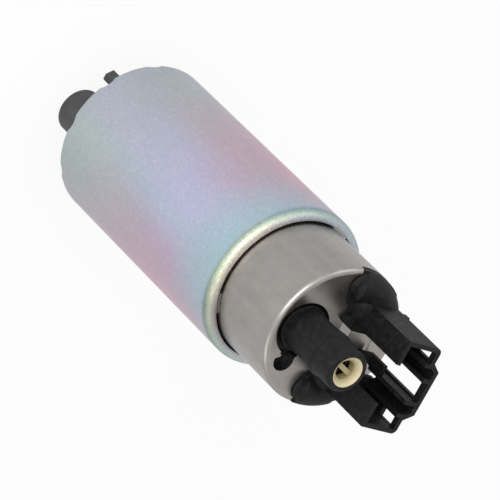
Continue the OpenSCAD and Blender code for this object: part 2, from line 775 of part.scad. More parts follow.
// Poppet with a boss inside the spring and crossed wings in the passage
module check_valve() {
    gap = 0.1;
    seat_r = passage_d / 2;
    head_r = nipple_bore_r - 0.35;
    wing_r = seat_r - 0.12;
    color([0.24, 0.25, 0.24]) translate([0, -nipple_off, 0]) {
        rotate_extrude() polygon([[0, seat_z + gap], [seat_r - 0.35, seat_z + gap],
            [head_r, seat_z + gap + seat_rise * (head_r - seat_r + 0.35)
                / (nipple_bore_r - seat_r)],
            [head_r, poppet_top], [0, poppet_top]]);
        bar(boss_d / 2, poppet_top - 0.1, boss_z1);
        for (a = [0, 90]) rotate([0, 0, a])
            block(-wing_r, wing_r, -0.4, 0.4, seat_z - wing_len, seat_z + 2 * gap);
    }
}

module check_valve_spring() {
    color([0.75, 0.75, 0.76]) translate([0, -nipple_off, 0])
        coil(check_spring_r, check_spring_wire, check_spring_turns, poppet_top + 0.05,
            guide_z0 - 0.05);
}

module relief_plug() {
    color([0.14, 0.14, 0.15]) translate([relief_x, -relief_y, 0])
        tube(relief_bore_r - insert_gap, 0.6, relief_plug_z0, relief_plug_z1);
}

module relief_ball() {
    color([0.80, 0.80, 0.81]) translate([relief_x, -relief_y, relief_ball_z])
        sphere(r = relief_ball_r);
}

module relief_spring() {
    color([0.75, 0.75, 0.76]) translate([relief_x, -relief_y, 0])
        coil(relief_spring_r, relief_spring_wire, relief_spring_turns,
            relief_ball_z + relief_ball_r - 0.25, relief_plug_z0 - 0.05);
}

// Rubber ring of round section
module seal_ring(r, z) {
    color([0.10, 0.10, 0.10]) rotate_extrude()
        translate([r, z]) circle(seal_wire_r);
}

module moulding_seal() seal_ring(can_in_r - 0.05 - seal_wire_r, cover_seal_z);

module housing_seal() seal_ring(bore_r - 0.08 - seal_wire_r, plate_seal_z);

module upper_bearing() {
    color([0.62, 0.50, 0.34])
        tube(bearing_r, shaft_d / 2 + run_gap, top_bearing_z0, top_bearing_z1);
}

module lower_bearing() {
    color([0.62, 0.50, 0.34])
        tube(bearing_r, shaft_d / 2 + run_gap, low_bearing_z0, low_bearing_z1);
}

// Blade terminal at +X with its tail in the moulding
module terminal() {
    tip = 0.8;
    z1 = face_z + blade_h;
    color([0.82, 0.79, 0.70]) translate([blade_x + blade_t / 2, blade_y, 0])
        rotate([0, -90, 0]) linear_extrude(blade_t)
            polygon([[choke_z1 + 0.1, -blade_w / 2], [z1 - 1.4, -blade_w / 2],
                [z1, -blade_w / 2 + tip], [z1, blade_w / 2 - tip],
                [z1 - 1.4, blade_w / 2], [choke_z1 + 0.1, blade_w / 2]]);
}

// Flat strap from the brush spring to the choke, at +X
module brush_strap() {
    color([0.80, 0.66, 0.36]) {
        translate([0, 0, strap_z0]) linear_extrude(strap_t) strap_outline(0);
        block(tail_x, tail_x + strap_t, tail_y, tail_y + 0.9, choke_z1 + 0.1, strap_z0 + eps);
    }
}

module choke_core() {
    color([0.25, 0.24, 0.24]) bar(choke_core_r, choke_z0, choke_z1, choke_x, choke_y);
}

module choke_coil() {
    color([0.72, 0.38, 0.20]) translate([choke_x, choke_y, 0])
        coil(choke_core_r + choke_wire / 2 + 0.1, choke_wire, 8, choke_z0 + 1,
            choke_z1 - 0.1);
}

// Carbon brush at +X with a seat for its spring
module brush() {
    color([0.22, 0.21, 0.20]) difference() {
        block(brush_x - brush_w / 2, brush_x + brush_w / 2, brush_y - brush_t / 2,
            brush_y + brush_t / 2, brush_z0, brush_z1);
        bar(0.9, brush_z1 - 1.2, brush_z1 + 1, brush_x, brush_y);
    }
}

module brush_spring() {
    color([0.75, 0.75, 0.76]) translate([brush_x, brush_y, 0])
        coil(brush_spring_r, brush_spring_wire, brush_spring_turns, brush_z1 + 0.05,
            strap_z0 - 0.05);
}

module commutator_hub() {
    color([0.36, 0.20, 0.12]) difference() {
        union() {
            bar(comm_r - 0.3, comm_z0 - hub_plate_t, comm_z0);
            bar(comm_in_r - 0.1, comm_z0 - 1, comm_top - 0.6);
            bar(hub_r, hub_z0, comm_z0 - 1);
        }
        bar(shaft_d / 2 + 0.02, hub_z0 - 1, comm_top + 1);
    }
}

module commutator_bars() {
    slot_w = 0.5;
    pitch = 360 / slot_count;
    color([0.30, 0.28, 0.27]) difference() {
        tube(comm_r, comm_in_r, comm_z0, comm_top);
        for (i = [0:slot_count - 1]) rotate([0, 0, i * pitch])
            block(comm_in_r - 1, comm_r + 1, -slot_w / 2, slot_w / 2, comm_z0 - 1,
                comm_top + 1);
    }
}

module shaft() {
    end = 0.4;
    r = shaft_d / 2;
    color([0.78, 0.79, 0.80]) difference() {
        rotate_extrude() polygon([[0, shaft_z0], [r - end, shaft_z0],
            [r, shaft_z0 + end], [r, shaft_z1 - end], [r - end, shaft_z1],
            [0, shaft_z1]]);
        // Flat that drives the impeller
        block(-r - 1, r + 1, flat_h, r + 1, shaft_z0 - 1, impeller_z1 + 0.3);
    }
}

// Outline of one winding slot, as a wedge with rounded root
module slot_outline(gap) {
    half = 180 / slot_count;
    w0 = slot_r0 * sin(half) * 0.42;
    w1 = slot_r1 * sin(half) * 0.66;
    polygon([[slot_r0 + gap, -w0 + gap], [slot_r1 - gap, -w1 + gap],
        [slot_r1 - gap, w1 - gap], [slot_r0 + gap, w0 - gap]]);
}

module lamination(r, bore, gap) {
    difference() {
        circle(r);
        circle(bore);
        for (i = [0:slot_count - 1]) rotate(i * 360 / slot_count) {
            slot_outline(gap);
            pane(slot_r1 - 1, r + 1, -0.7, 0.7);
        }
    }
}

module armature_core() {
    color([0.50, 0.51, 0.53]) translate([0, 0, core_z0])
        linear_extrude(core_z1 - core_z0) lamination(core_r, shaft_d / 2 + 0.02, 0);
}

module slot_insulators() {
    r = core_r - 0.4;
    color([0.78, 0.72, 0.52]) {
        translate([0, 0, core_z0 - insulator_t]) linear_extrude(insulator_t)
            lamination(r, shaft_d / 2 + 0.2, 0);
        translate([0, 0, core_z1]) linear_extrude(insulator_t)
            lamination(r, shaft_d / 2 + 0.2, 0);
    }
}

module armature_windings() {
    r1 = slot_r1 - 0.2;
    r0 = slot_r0 - 0.6;
    round_r = 1.6;
    color([0.72, 0.38, 0.20]) {
        translate([0, 0, turns_bottom + eps]) linear_extrude(turns_top - turns_bottom - 0.1)
            for (i = [0:slot_count - 1]) rotate(i * 360 / slot_count) slot_outline(0.12);
        for (z = [turns_bottom, core_z1 + insulator_t]) rotate_extrude() {
            pane(r0, r1 - round_r, z, z + end_turn_len);
            pane(r0, r1, z + round_r, z + end_turn_len - round_r);
            translate([r1 - round_r, z + round_r]) circle(round_r);
            translate([r1 - round_r, z + end_turn_len - round_r]) circle(round_r);
        }
    }
}

// Arc magnet centred on +Y
module magnet() {
    color([0.23, 0.23, 0.25]) translate([0, 0, housing_z1])
        rotate([0, 0, 90 - magnet_arc / 2]) rotate_extrude(angle = magnet_arc)
            pane(magnet_in_r, bore_r - fit_gap, 0, can_z0 - housing_z1);
}

// Bent strip spring that spreads the magnets, centred on +X
module magnet_clip() {
    turn = 90 - magnet_arc / 2 - 2.2;
    sheet = 0.6;
    ro = bore_r - fit_gap;
    z0 = housing_z1 + 3;
    leg = magnet_t - 0.4;
    color([0.60, 0.62, 0.64]) translate([0, 0, z0]) linear_extrude(can_z0 - 3 - z0) {
        intersection() {
            difference() {
                circle(ro);
                circle(ro - sheet);
            }
            polygon([[0, 0], 2 * ro * [cos(turn), -sin(turn)],
                2 * ro * [cos(turn), sin(turn)]]);
        }
        for (s = [-1, 1]) rotate(s * turn)
            pane(ro - leg, ro - 0.05, -sheet / 2, sheet / 2);
    }
}

// Half round side channel, open towards +Z, stopping short of a full turn
module side_channel(z) {
    rotate([0, 0, -90 - 8]) rotate_extrude(angle = 310)
        translate([channel_mid, z]) circle(channel_r);
}

module pump_housing() {
    r = bore_r - fit_gap;
    boss_r = bearing_r + 2.4;
    color([0.62, 0.63, 0.64]) difference() {
        bar(r, cover_z1, housing_z1);
        // Impeller recess and side channel
        bar(recess_r, cover_z1 - 1, recess_z1);
        side_channel(recess_z1);
        // Seal groove
        tube(r + 2, bore_r - 1.9, plate_seal_z - 1.1, plate_seal_z + 1.1);
        // Hollow round the bearing boss
        tube(magnet_in_r - 0.4, boss_r, pocket_z0, housing_z1 + 1);
        // Bearing seat and shaft hole
        bar(bearing_r + insert_gap, low_bearing_z0, housing_z1 + 1);
        bar(shaft_d / 2 + 0.4, cover_z1, housing_z1);
        // Port into the motor at the end of the channel
        rotate([0, 0, -90 - 8 - 42]) bar(1.7, recess_z1 - 1, pocket_z0 + 1, channel_mid - 1.2, 0);
    }
}

module impeller() {
    r = impeller_d / 2;
    pitch = 360 / vane_count;
    web = 0.6;
    depth = (impeller_t - web) / 2;
    color([0.36, 0.27, 0.20]) difference() {
        bar(r, impeller_z0, impeller_z1);
        for (z = [impeller_z0 - 1, impeller_z1 - depth])
            translate([0, 0, z]) linear_extrude(depth + 1)
                for (i = [0:vane_count - 1]) rotate(i * pitch)
                    pane(r - vane_len, r - 0.7, -0.62, 0.62);
        // Bore with the drive flat
        difference() {
            bar(shaft_d / 2 + 0.04, impeller_z0 - 1, impeller_z1 + 1);
            block(-4, 4, flat_h + 0.04, 5, impeller_z0 - 2, impeller_z1 + 2);
        }
        // Pressure balance holes
        for (i = [0:2]) rotate([0, 0, 60 + 120 * i])
            bar(1, impeller_z0 - 1, impeller_z1 + 1, 5.6, 0);
    }
}

module thrust_button() {
    color([0.80, 0.80, 0.81]) bar(1.9, shaft_z0 - 1.7, shaft_z0 - 0.1);
}

module inlet_cover() {
    boss_r = lip_r - 0.2;
    face = -cover_face_h;
    edge = 0.5;
    color([0.20, 0.20, 0.21]) difference() {
        union() {
            bar(bore_r - fit_gap, crimp_lip_t, cover_z1);
            rotate_extrude() polygon([[0, face], [boss_r - edge, face],
                [boss_r, face + edge], [boss_r, crimp_lip_t + 0.1],
                [0, crimp_lip_t + 0.1]]);
            translate([0, -stub_off, 0]) rotate_extrude()
                polygon([[0, -stub_len], [stub_d / 2 - edge, -stub_len],
                    [stub_d / 2, -stub_len + edge], [stub_d / 2, face], [0, face]]);
            // Root of the stub, only where it stands on the face
            intersection() {
                bar(stub_d / 2, face - 0.1, face + 0.1, 0, -stub_off);
                bar(boss_r - edge, face - 0.1, face + 0.1);
            }
            // Locating tab near the rim
            rotate([0, 0, tab_angle]) locating_tab();
        }
        bar(stub_bore_d / 2, -stub_len - 1, cover_z1 + 1, 0, -stub_off);
        // Side channel facing the impeller, and the shaft end recess
        side_channel(cover_z1);
        bar(2.1, shaft_z0 - 1.75, cover_z1 + 1);
        // Vapour bleed hole
        rotate([0, 0, 30]) bar(0.5, face - 1, cover_z1, channel_mid, 0);
    }
}

module locating_tab() {
    outer = lip_r - 0.5;
    cut = 0.8;
    translate([0, 0, -tab_len]) linear_extrude(tab_len - cover_face_h + 0.1)
        polygon([[outer - tab_t, -tab_w / 2], [outer, -tab_w / 2],
            [outer, tab_w / 2 - cut], [outer - cut, tab_w / 2],
            [outer - tab_t, tab_w / 2]]);
}

flux_sleeve();
outlet_can();
outlet_moulding();
valve_guide();
check_valve();
check_valve_spring();
relief_plug();
relief_ball();
relief_spring();
moulding_seal();
upper_bearing();
mirror([1, 0, 0]) terminal();  // terminal_1
terminal();  // terminal_2
mirror([1, 0, 0]) brush_strap();  // brush_strap_1
brush_strap();  // brush_strap_2
mirror([1, 0, 0]) choke_core();  // choke_core_1
choke_core();  // choke_core_2
mirror([1, 0, 0]) choke_coil();  // choke_coil_1
choke_coil();  // choke_coil_2
mirror([1, 0, 0]) brush();  // brush_1
brush();  // brush_2
mirror([1, 0, 0]) brush_spring();  // brush_spring_1
brush_spring();  // brush_spring_2
commutator_hub();
commutator_bars();
shaft();
armature_core();
slot_insulators();
armature_windings();
magnet();  // magnet_1
rotate([0, 0, 180]) magnet();  // magnet_2
magnet_clip();  // magnet_clip_1
rotate([0, 0, 180]) magnet_clip();  // magnet_clip_2
lower_bearing();
pump_housing();
housing_seal();
impeller();
thrust_button();
inlet_cover();
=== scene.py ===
import bpy
import bmesh
from math import pi, radians
from mathutils import Matrix, Vector


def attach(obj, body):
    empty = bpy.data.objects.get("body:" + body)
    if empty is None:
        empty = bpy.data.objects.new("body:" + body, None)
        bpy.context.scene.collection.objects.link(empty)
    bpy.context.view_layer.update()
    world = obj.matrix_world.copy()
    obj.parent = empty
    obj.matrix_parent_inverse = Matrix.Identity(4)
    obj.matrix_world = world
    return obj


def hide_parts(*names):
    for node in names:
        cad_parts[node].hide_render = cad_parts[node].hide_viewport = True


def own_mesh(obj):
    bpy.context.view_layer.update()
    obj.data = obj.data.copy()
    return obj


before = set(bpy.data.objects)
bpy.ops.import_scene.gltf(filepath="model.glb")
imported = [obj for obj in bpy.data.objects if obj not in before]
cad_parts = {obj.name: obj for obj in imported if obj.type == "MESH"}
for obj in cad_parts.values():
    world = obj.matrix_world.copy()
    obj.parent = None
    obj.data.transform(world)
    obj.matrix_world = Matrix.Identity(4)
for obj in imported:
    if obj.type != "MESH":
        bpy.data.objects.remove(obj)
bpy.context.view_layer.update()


# Steel sleeve. A length of steel tube carries the magnets' flux and holds the pump together.
# It is plated with zinc and passivated, which leaves a film that shimmers from silver through
# lavender and rose to a pale green at the rounded lip, where stakes hold the can. Painted
# highlights lie over these colours: a lighter band on the side facing the key lamp and camera,
# and the stakes painted almost white.
def node(tree, kind, values=(), **settings):
    """A shader node with its settings, and its inputs as plain values or as links."""
    made = tree.nodes.new("ShaderNode" + kind)
    for name, value in settings.items():
        setattr(made, name, value)
    for socket, value in dict(values).items():
        if isinstance(value, bpy.types.NodeSocket):
            tree.links.new(value, made.inputs[socket])
        else:
            made.inputs[socket].default_value = value
    return made


def blank(name, metal):
    """A new material: its tree, its shader and the place on the part in metres."""
    material = bpy.data.materials.new(name)
    material.use_nodes = True
    tree = material.node_tree
    shader = tree.nodes["Principled BSDF"]
    shader.inputs["Metallic"].default_value = metal
    return material, tree, shader, node(tree, "TexCoord").outputs["Object"]


zinc, tree, shader, place = blank("passivated zinc plate", metal=1.0)
film_and_highlight_turn = radians(112)
turned = node(tree, "Mapping", {"Vector": place, "Rotation": (0, 0, film_and_highlight_turn)})
round_it = node(tree, "TexGradient", {"Vector": turned.outputs["Vector"]},
                gradient_type="RADIAL").outputs["Fac"]


def noise(tree, place, size, stretch=(1, 1, 1), detail=4, rough=0.55):
    """A noise field whose grains are about size metres across, drawn out by stretch."""
    drawn = node(tree, "Mapping", {"Vector": place, "Scale": tuple(1 / s for s in stretch)})
    made = node(tree, "TexNoise", {"Vector": drawn.outputs["Vector"], "Scale": 1 / size,
                                   "Detail": detail, "Roughness": rough})
    return made.outputs["Fac"]


# Nearly all of a noise field lies between these two values.
NOISE_LOW, NOISE_HIGH = 0.3, 0.7


def ranged(tree, value, low, high, start=NOISE_LOW, stop=NOISE_HIGH):
    """A value between start and stop, carried over to low and high and held at both."""
    made = node(tree, "MapRange", {"Value": value, "From Min": start, "From Max": stop,
                                   "To Min": low, "To Max": high})
    return made.outputs["Result"]


def reckoned(tree, operation, first, second):
    """Two values added, multiplied or otherwise put together."""
    return node(tree, "Math", {0: first, 1: second}, operation=operation).outputs["Value"]


# The film's hue, and a painted highlight on the side facing the key lamp and camera, follow
# the way round the tube, with a slow drift of their own.
drift = noise(tree, place, size=0.03, stretch=(1, 1, 2.5), detail=2)
wander = reckoned(tree, "ADD", ranged(tree, drift, low=-0.05, high=0.05), round_it)


def shades(tree, factor, stops):
    """Colours that follow a factor, as (place, (red, green, blue)) stops."""
    halfway = 0.5
    made = node(tree, "ValToRGB", {"Fac": factor})
    band = made.color_ramp
    while len(band.elements) < len(stops):
        band.elements.new(halfway)
    for element, (place, colour) in zip(band.elements, stops):
        element.position = place
        element.color = (*colour, 1)
    return made.outputs["Color"]


# All three ramps are lighter around 0.5, on the side facing the key lamp and camera: a painted
# highlight over the film's hues.
inlet_half = shades(tree, wander, [
    (0.00, (0.47, 0.52, 0.54)), (0.26, (0.49, 0.52, 0.56)), (0.40, (0.50, 0.54, 0.58)),
    (0.50, (0.54, 0.57, 0.65)), (0.56, (0.54, 0.62, 0.61)), (0.66, (0.50, 0.57, 0.56)),
    (0.76, (0.56, 0.48, 0.53)), (1.00, (0.47, 0.52, 0.54))])
outlet_half = shades(tree, wander, [
    (0.00, (0.52, 0.47, 0.56)), (0.24, (0.68, 0.40, 0.48)), (0.36, (0.61, 0.45, 0.54)),
    (0.46, (0.60, 0.57, 0.80)), (0.54, (0.55, 0.60, 0.78)), (0.63, (0.60, 0.47, 0.60)),
    (0.74, (0.70, 0.42, 0.50)), (1.00, (0.52, 0.47, 0.56))])
shimmer = shades(tree, wander, [
    (0.00, (0.46, 0.53, 0.57)), (0.24, (0.57, 0.44, 0.50)), (0.37, (0.45, 0.57, 0.68)),
    (0.49, (0.42, 0.66, 0.71)), (0.61, (0.44, 0.59, 0.66)), (0.73, (0.60, 0.45, 0.54)),
    (1.00, (0.46, 0.53, 0.57))])


def height_on_part(tree, place):
    """How far up the part a point lies, in metres."""
    return node(tree, "SeparateXYZ", {"Vector": place}).outputs["Z"]


def blended(tree, factor, first, second, way="MIX"):
    """One colour over another by a factor, each a plain value or a link."""
    made = node(tree, "Mix", data_type="RGBA", blend_type=way)
    for socket, value in (("Factor", factor), ("A", first), ("B", second)):
        place = next(s for s in made.inputs if s.name == socket and s.enabled)
        if isinstance(value, bpy.types.NodeSocket):
            tree.links.new(value, place)
        else:
            place.default_value = value
    return next(s for s in made.outputs if s.enabled)


# The halves' hues meet and the shimmer comes in over these heights in metres.
halves_meet = (0.009, 0.041)
shimmer_rises = (0.048, 0.062)
silver_haze = (0.42, 0.45, 0.52, 1)
height = height_on_part(tree, place)
plating_and_painted_light = blended(tree, ranged(tree, height, 0, 1, *halves_meet), inlet_half, outlet_half)
plating_and_painted_light = blended(tree, ranged(tree, height, 0, 0.9, *shimmer_rises), plating_and_painted_light, shimmer)
cloud = noise(tree, place, size=0.009, stretch=(1, 1, 2), detail=5)
plating_and_painted_light = blended(tree, ranged(tree, cloud, low=0, high=0.16), plating_and_painted_light, silver_haze)

# The lip has a tint that changes over its height. Round the lip this tint is multiplied by a
# ramp that is white on the side facing the key lamp and camera and darker and bluer elsewhere:
# a painted highlight with some of the film's colour.
lip_begins = (0.0628, 0.0640)
lip = (0.0636, 0.0660)
lip_tint = shades(tree, ranged(tree, height, 0, 1, *lip), [
    (0.00, (0.42, 0.57, 0.60)), (0.20, (0.38, 0.48, 0.43)), (0.42, (0.57, 0.69, 0.52)),
    (0.64, (0.66, 0.76, 0.49)), (0.86, (0.77, 0.76, 0.56)), (1.00, (0.81, 0.70, 0.61))])
lip_film_and_highlight = shades(tree, wander, [
    (0.00, (0.60, 0.74, 0.95)), (0.31, (0.52, 0.66, 0.86)), (0.38, (0.68, 0.80, 0.94)),
    (0.45, (1.00, 1.00, 1.00)), (0.56, (1.00, 1.00, 0.95)), (0.61, (0.54, 0.52, 0.51)),
    (0.74, (0.50, 0.64, 0.74)), (0.80, (0.62, 0.75, 0.92)), (1.00, (0.60, 0.74, 0.95))])
lip_tint = blended(tree, 1.0, lip_tint, lip_film_and_highlight, "MULTIPLY")
plating_and_painted_light = blended(tree, ranged(tree, height, 0, 0.95, *lip_begins), plating_and_painted_light, lip_tint)

# The stakes sit in shade in the gap and are painted almost white, a painted highlight. They
# are all that lies inside this radius at the mouth.
stakes_inside = (0.01692, 0.01698)
stakes_above = (0.0630, 0.0631)
stake_painted_highlight = (0.93, 0.92, 0.86, 1)
flat_place = node(tree, "VectorMath", {0: place, 1: (1, 1, 0)}, operation="MULTIPLY")
reach = node(tree, "VectorMath", {0: flat_place.outputs["Vector"]}, operation="LENGTH")
inside = ranged(tree, reach.outputs["Value"], 1, 0, *stakes_inside)
above = ranged(tree, height, 0, 1, *stakes_above)
plating_and_painted_light = blended(tree, reckoned(tree, "MULTIPLY", inside, above), plating_and_painted_light, stake_painted_highlight)

# A fine grain shows most where the lip is rubbed, and pale flecks lie all over.
lip_rubbed = (0.0634, 0.0646)
rubbed_grey = (0.30, 0.31, 0.35, 1)
pale_fleck = (0.74, 0.86, 0.74, 1)
grain = noise(tree, place, size=0.00045, detail=3, rough=0.7)
rubbed = ranged(tree, height, 0.34, 0.62, *lip_rubbed)
speckle = reckoned(tree, "MULTIPLY",
                   ranged(tree, grain, low=0, high=1, start=0.35, stop=0.65), rubbed)
plating_and_painted_light = blended(tree, speckle, plating_and_painted_light, rubbed_grey)
flecks = noise(tree, place, size=0.0011, stretch=(1, 1, 1.6), detail=4, rough=0.7)
plating_and_painted_light = blended(tree, ranged(tree, flecks, low=0, high=0.16, start=0.5, stop=0.7), plating_and_painted_light,
                 pale_fleck)
tree.links.new(plating_and_painted_light, shader.inputs["Base Color"])


def raised(tree, shader, height, depth, under=None):
    """Feeds a height of depth metres into the shader's normal, over an earlier one."""
    values = {"Height": height, "Distance": depth}
    if under is not None:
        values["Normal"] = under
    made = node(tree, "Bump", values)
    tree.links.new(made.outputs["Normal"], shader.inputs["Normal"])
    return made.outputs["Normal"]


def dress(material, *names):
    """Gives CAD nodes their finish, on the object and not on the mesh."""
    for name in names:
        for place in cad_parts[name].material_slots:
            place.link = "OBJECT"
            place.material = material


dull = noise(tree, place, size=0.004, stretch=(1, 1, 3))
dull = reckoned(tree, "ADD", ranged(tree, dull, low=0.34, high=0.46),
                ranged(tree, height, 0, 0.12, *lip_rubbed))
tree.links.new(dull, shader.inputs["Roughness"])
waves = noise(tree, place, size=0.006, stretch=(1, 1, 4), detail=2)
skin = raised(tree, shader, waves, depth=0.00006)
raised(tree, shader, grain, depth=0.000025, under=skin)
dress(zinc, "flux_sleeve")


# Magnets and their clips. Two pressed ferrite arcs are held against the sleeve by strips of
# bent spring steel, which push them apart.
def two_shades(tree, field, dark, light):
    """Patches that drift from a dark to a light shade over a noise field."""
    return shades(tree, field, [(NOISE_LOW, dark), (NOISE_HIGH, light)])


def plain(name, light, dark, rough, size, metal=0.0, stretch=(1, 1, 1), depth=0.00001,
          fine=0.0003):
    """A finish whose colour drifts between two shades, with a fine relief."""
    rough_spread = 0.08
    material, tree, shader, place = blank(name, metal)
    patches = noise(tree, place, size, stretch)
    tree.links.new(two_shades(tree, patches, dark, light), shader.inputs["Base Color"])
    relief = noise(tree, place, fine, stretch, detail=3)
    tree.links.new(ranged(tree, relief, rough - rough_spread, rough + rough_spread),
                   shader.inputs["Roughness"])
    raised(tree, shader, relief, depth)
    return material


ferrite = plain("pressed ferrite", light=(0.075, 0.075, 0.082), dark=(0.045, 0.045, 0.05),
                rough=0.62, size=0.004)
spring_steel = plain("bright spring steel", light=(0.62, 0.62, 0.64), dark=(0.48, 0.48, 0.50),
                     rough=0.28, size=0.003, metal=1.0, stretch=(1, 1, 5))
dress(ferrite, "magnet_1", "magnet_2")
dress(spring_steel, "magnet_clip_1", "magnet_clip_2")


# Pump section. The impeller turns between a die cast housing, sealed in the sleeve by a rubber
# ring, and a dark moulded cover. The shaft runs in oil filled bronze bearings on a ground
# steel button.
die_cast = plain("die cast alloy", light=(0.52, 0.53, 0.54), dark=(0.42, 0.43, 0.44),
                 rough=0.46, size=0.005, metal=1.0, depth=0.00002)
phenolic = plain("phenolic resin", light=(0.16, 0.09, 0.055), dark=(0.10, 0.055, 0.035),
                 rough=0.42, size=0.002)
rubber = plain("seal rubber", light=(0.022, 0.022, 0.022), dark=(0.012, 0.012, 0.012),
               rough=0.55, size=0.002)
bronze = plain("oil filled bronze", light=(0.48, 0.33, 0.17), dark=(0.36, 0.24, 0.12),
               rough=0.44, size=0.0008, metal=1.0, fine=0.00015, depth=0.00003)
ground_steel = plain("ground steel", light=(0.74, 0.75, 0.76), dark=(0.62, 0.63, 0.64),
                     rough=0.18, size=0.002, metal=1.0, stretch=(1, 1, 0.2))
dark_plastic = plain("dark inlet plastic", light=(0.066, 0.063, 0.065),
                     dark=(0.040, 0.038, 0.040), rough=0.42, size=0.003, depth=0.000015)
dress(die_cast, "pump_housing")
dress(phenolic, "impeller")
dress(rubber, "housing_seal")
dress(bronze, "lower_bearing", "upper_bearing")
dress(ground_steel, "shaft", "thrust_button")
dress(dark_plastic, "inlet_cover")


# Armature and brushes. Stamped sheets make the core, enamelled copper fills its slots over
# fibre insulators, and a carbon commutator is fused to a resin hub on the shaft. The brushes
# are of the same pressed carbon.
laminations = plain("stacked steel sheets", light=(0.46, 0.46, 0.47), dark=(0.28, 0.28, 0.29),
                    rough=0.40, size=0.0008, metal=1.0, stretch=(40, 40, 1), fine=0.0005,
                    depth=0.00006)
copper = plain("enamelled copper wire", light=(0.62, 0.26, 0.10), dark=(0.42, 0.16, 0.06),
               rough=0.30, size=0.0007, metal=1.0, stretch=(3, 3, 0.6), fine=0.0005,
               depth=0.00012)
fibre = plain("varnished fibre", light=(0.62, 0.54, 0.32), dark=(0.48, 0.40, 0.22),
              rough=0.55, size=0.002)
carbon = plain("pressed carbon", light=(0.060, 0.056, 0.053), dark=(0.036, 0.034, 0.032),
               rough=0.60, size=0.0012)
dress(laminations, "armature_core")
dress(copper, "armature_windings")
dress(fibre, "slot_insulators")
dress(phenolic, "commutator_hub")
dress(carbon, "commutator_bars", "brush_1", "brush_2")


# Outlet moulding. One black glass-filled moulding carries the nipple, both brush towers and
# the connector shroud. Its skin is matt with a fine mottle from the glass, and a rubber ring
# seals it in the can.
black, tree, shader, place = blank("glass filled black plastic", metal=0.0)
glass_grey = (0.028, 0.028, 0.030, 1)
mottle = noise(tree, place, size=0.0012, detail=5, rough=0.65)
swirl = noise(tree, place, size=0.006, stretch=(1, 1, 2), detail=3)
tone = two_shades(tree, swirl, dark=(0.0055, 0.0055, 0.0058), light=(0.009, 0.009, 0.0096))
tone = blended(tree, ranged(tree, mottle, low=0, high=0.75, start=0.48, stop=0.74), tone,
               glass_grey)
shader.inputs["Specular IOR Level"].default_value = 0.16
tree.links.new(tone, shader.inputs["Base Color"])
tree.links.new(ranged(tree, mottle, low=0.46, high=0.66), shader.inputs["Roughness"])
raised(tree, shader, mottle, depth=0.00003)
dress(black, "outlet_moulding")
dress(rubber, "moulding_seal")

# The moulding shows as a copy whose edges carry the small radius that the tool leaves. It
# stands in for the sharp-edged CAD node, in the same place and on the same body.
edge_radius = 0.00022
shortest_edge = 0.0006
least_fold, most_fold = radians(40), radians(130)
weld_gap = 0.000002
flat_within = radians(0.6)
smooth_within = radians(50)
moulded = bpy.data.meshes.new("outlet moulding with rounded edges")
form = bmesh.new()
form.from_mesh(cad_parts["outlet_moulding"].data)
bmesh.ops.remove_doubles(form, verts=form.verts, dist=weld_gap)
bmesh.ops.dissolve_limit(form, angle_limit=flat_within, verts=form.verts, edges=form.edges)

# At the foot of the towers' front a thin ledge is drawn in to the wall, so that the rounding
# leaves no spur beside the can's cut-out.
ledge_above, ledge_beyond, wall_reach = 0.0854, 0.0105, 0.0161
for corner in form.verts:
    out = corner.co.xy.length
    if corner.co.z > ledge_above and corner.co.y > ledge_beyond and out > wall_reach:
        corner.co.xy *= wall_reach / out
sharp = [e for e in form.edges if len(e.link_faces) == 2 and e.calc_length() > shortest_edge
         and least_fold < e.calc_face_angle(0) < most_fold]
bmesh.ops.bevel(form, geom=sharp, offset=edge_radius, segments=2, profile=0.5, affect="EDGES",
                clamp_overlap=True)
form.to_mesh(moulded)
form.free()
moulded.materials.append(black)
moulding = bpy.data.objects.new("outlet_moulding_rounded", moulded)
bpy.context.collection.objects.link(moulding)
for face in moulded.polygons:
    face.use_smooth = True
moulded.set_sharp_from_angle(angle=smooth_within)
even = moulding.modifiers.new("even faces", "WEIGHTED_NORMAL")
even.keep_sharp = True
even.weight = 90
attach(moulding, "housing")
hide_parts("outlet_moulding")


# Metal inserts of the moulding. Tinned brass blades stand in the connector and brass straps
# lead from them to the brushes, through chokes of copper wire on ferrite rods.
tinned = plain("tinned brass", light=(0.70, 0.66, 0.56), dark=(0.58, 0.54, 0.44), rough=0.26,
               size=0.002, metal=1.0, stretch=(1, 1, 4))
brass = plain("rolled brass", light=(0.72, 0.50, 0.20), dark=(0.58, 0.38, 0.14), rough=0.30,
              size=0.002, metal=1.0)
dress(tinned, "terminal_1", "terminal_2")
dress(brass, "brush_strap_1", "brush_strap_2")
dress(ferrite, "choke_core_1", "choke_core_2")
dress(copper, "choke_coil_1", "choke_coil_2")


# Valves. A cream acetal guide is pressed into the nipple over a dark poppet. Fuel runs over its
# cross bar and through its bore. Below its top the guide is painted a darker amber, as painted
# shade for its shaded bore. The relief valve beside it is a steel ball under a plug of the
# black moulding compound.
# Below these heights in metres the cream is painted darker amber: painted shade in the bore.
bore_shade_below = (0.1012, 0.1019)
painted_bore_shade = (0.36, 0.30, 0.15, 1)
cream, tree, shader, place = blank("cream acetal", metal=0.0)
tone = two_shades(tree, noise(tree, place, size=0.003),
                  dark=(0.64, 0.56, 0.35), light=(0.72, 0.64, 0.42))
height = height_on_part(tree, place)
tone = blended(tree, ranged(tree, height, 0.85, 0, *bore_shade_below), tone, painted_bore_shade)
tree.links.new(tone, shader.inputs["Base Color"])
relief = noise(tree, place, size=0.0003, detail=3)
tree.links.new(ranged(tree, relief, low=0.30, high=0.46), shader.inputs["Roughness"])
raised(tree, shader, relief, depth=0.000008)
dark_acetal = plain("dark acetal", light=(0.050, 0.053, 0.048), dark=(0.034, 0.036, 0.033),
                    rough=0.45, size=0.002)
dress(cream, "valve_guide")
dress(dark_acetal, "check_valve")
dress(ground_steel, "relief_ball")
dress(black, "relief_plug")


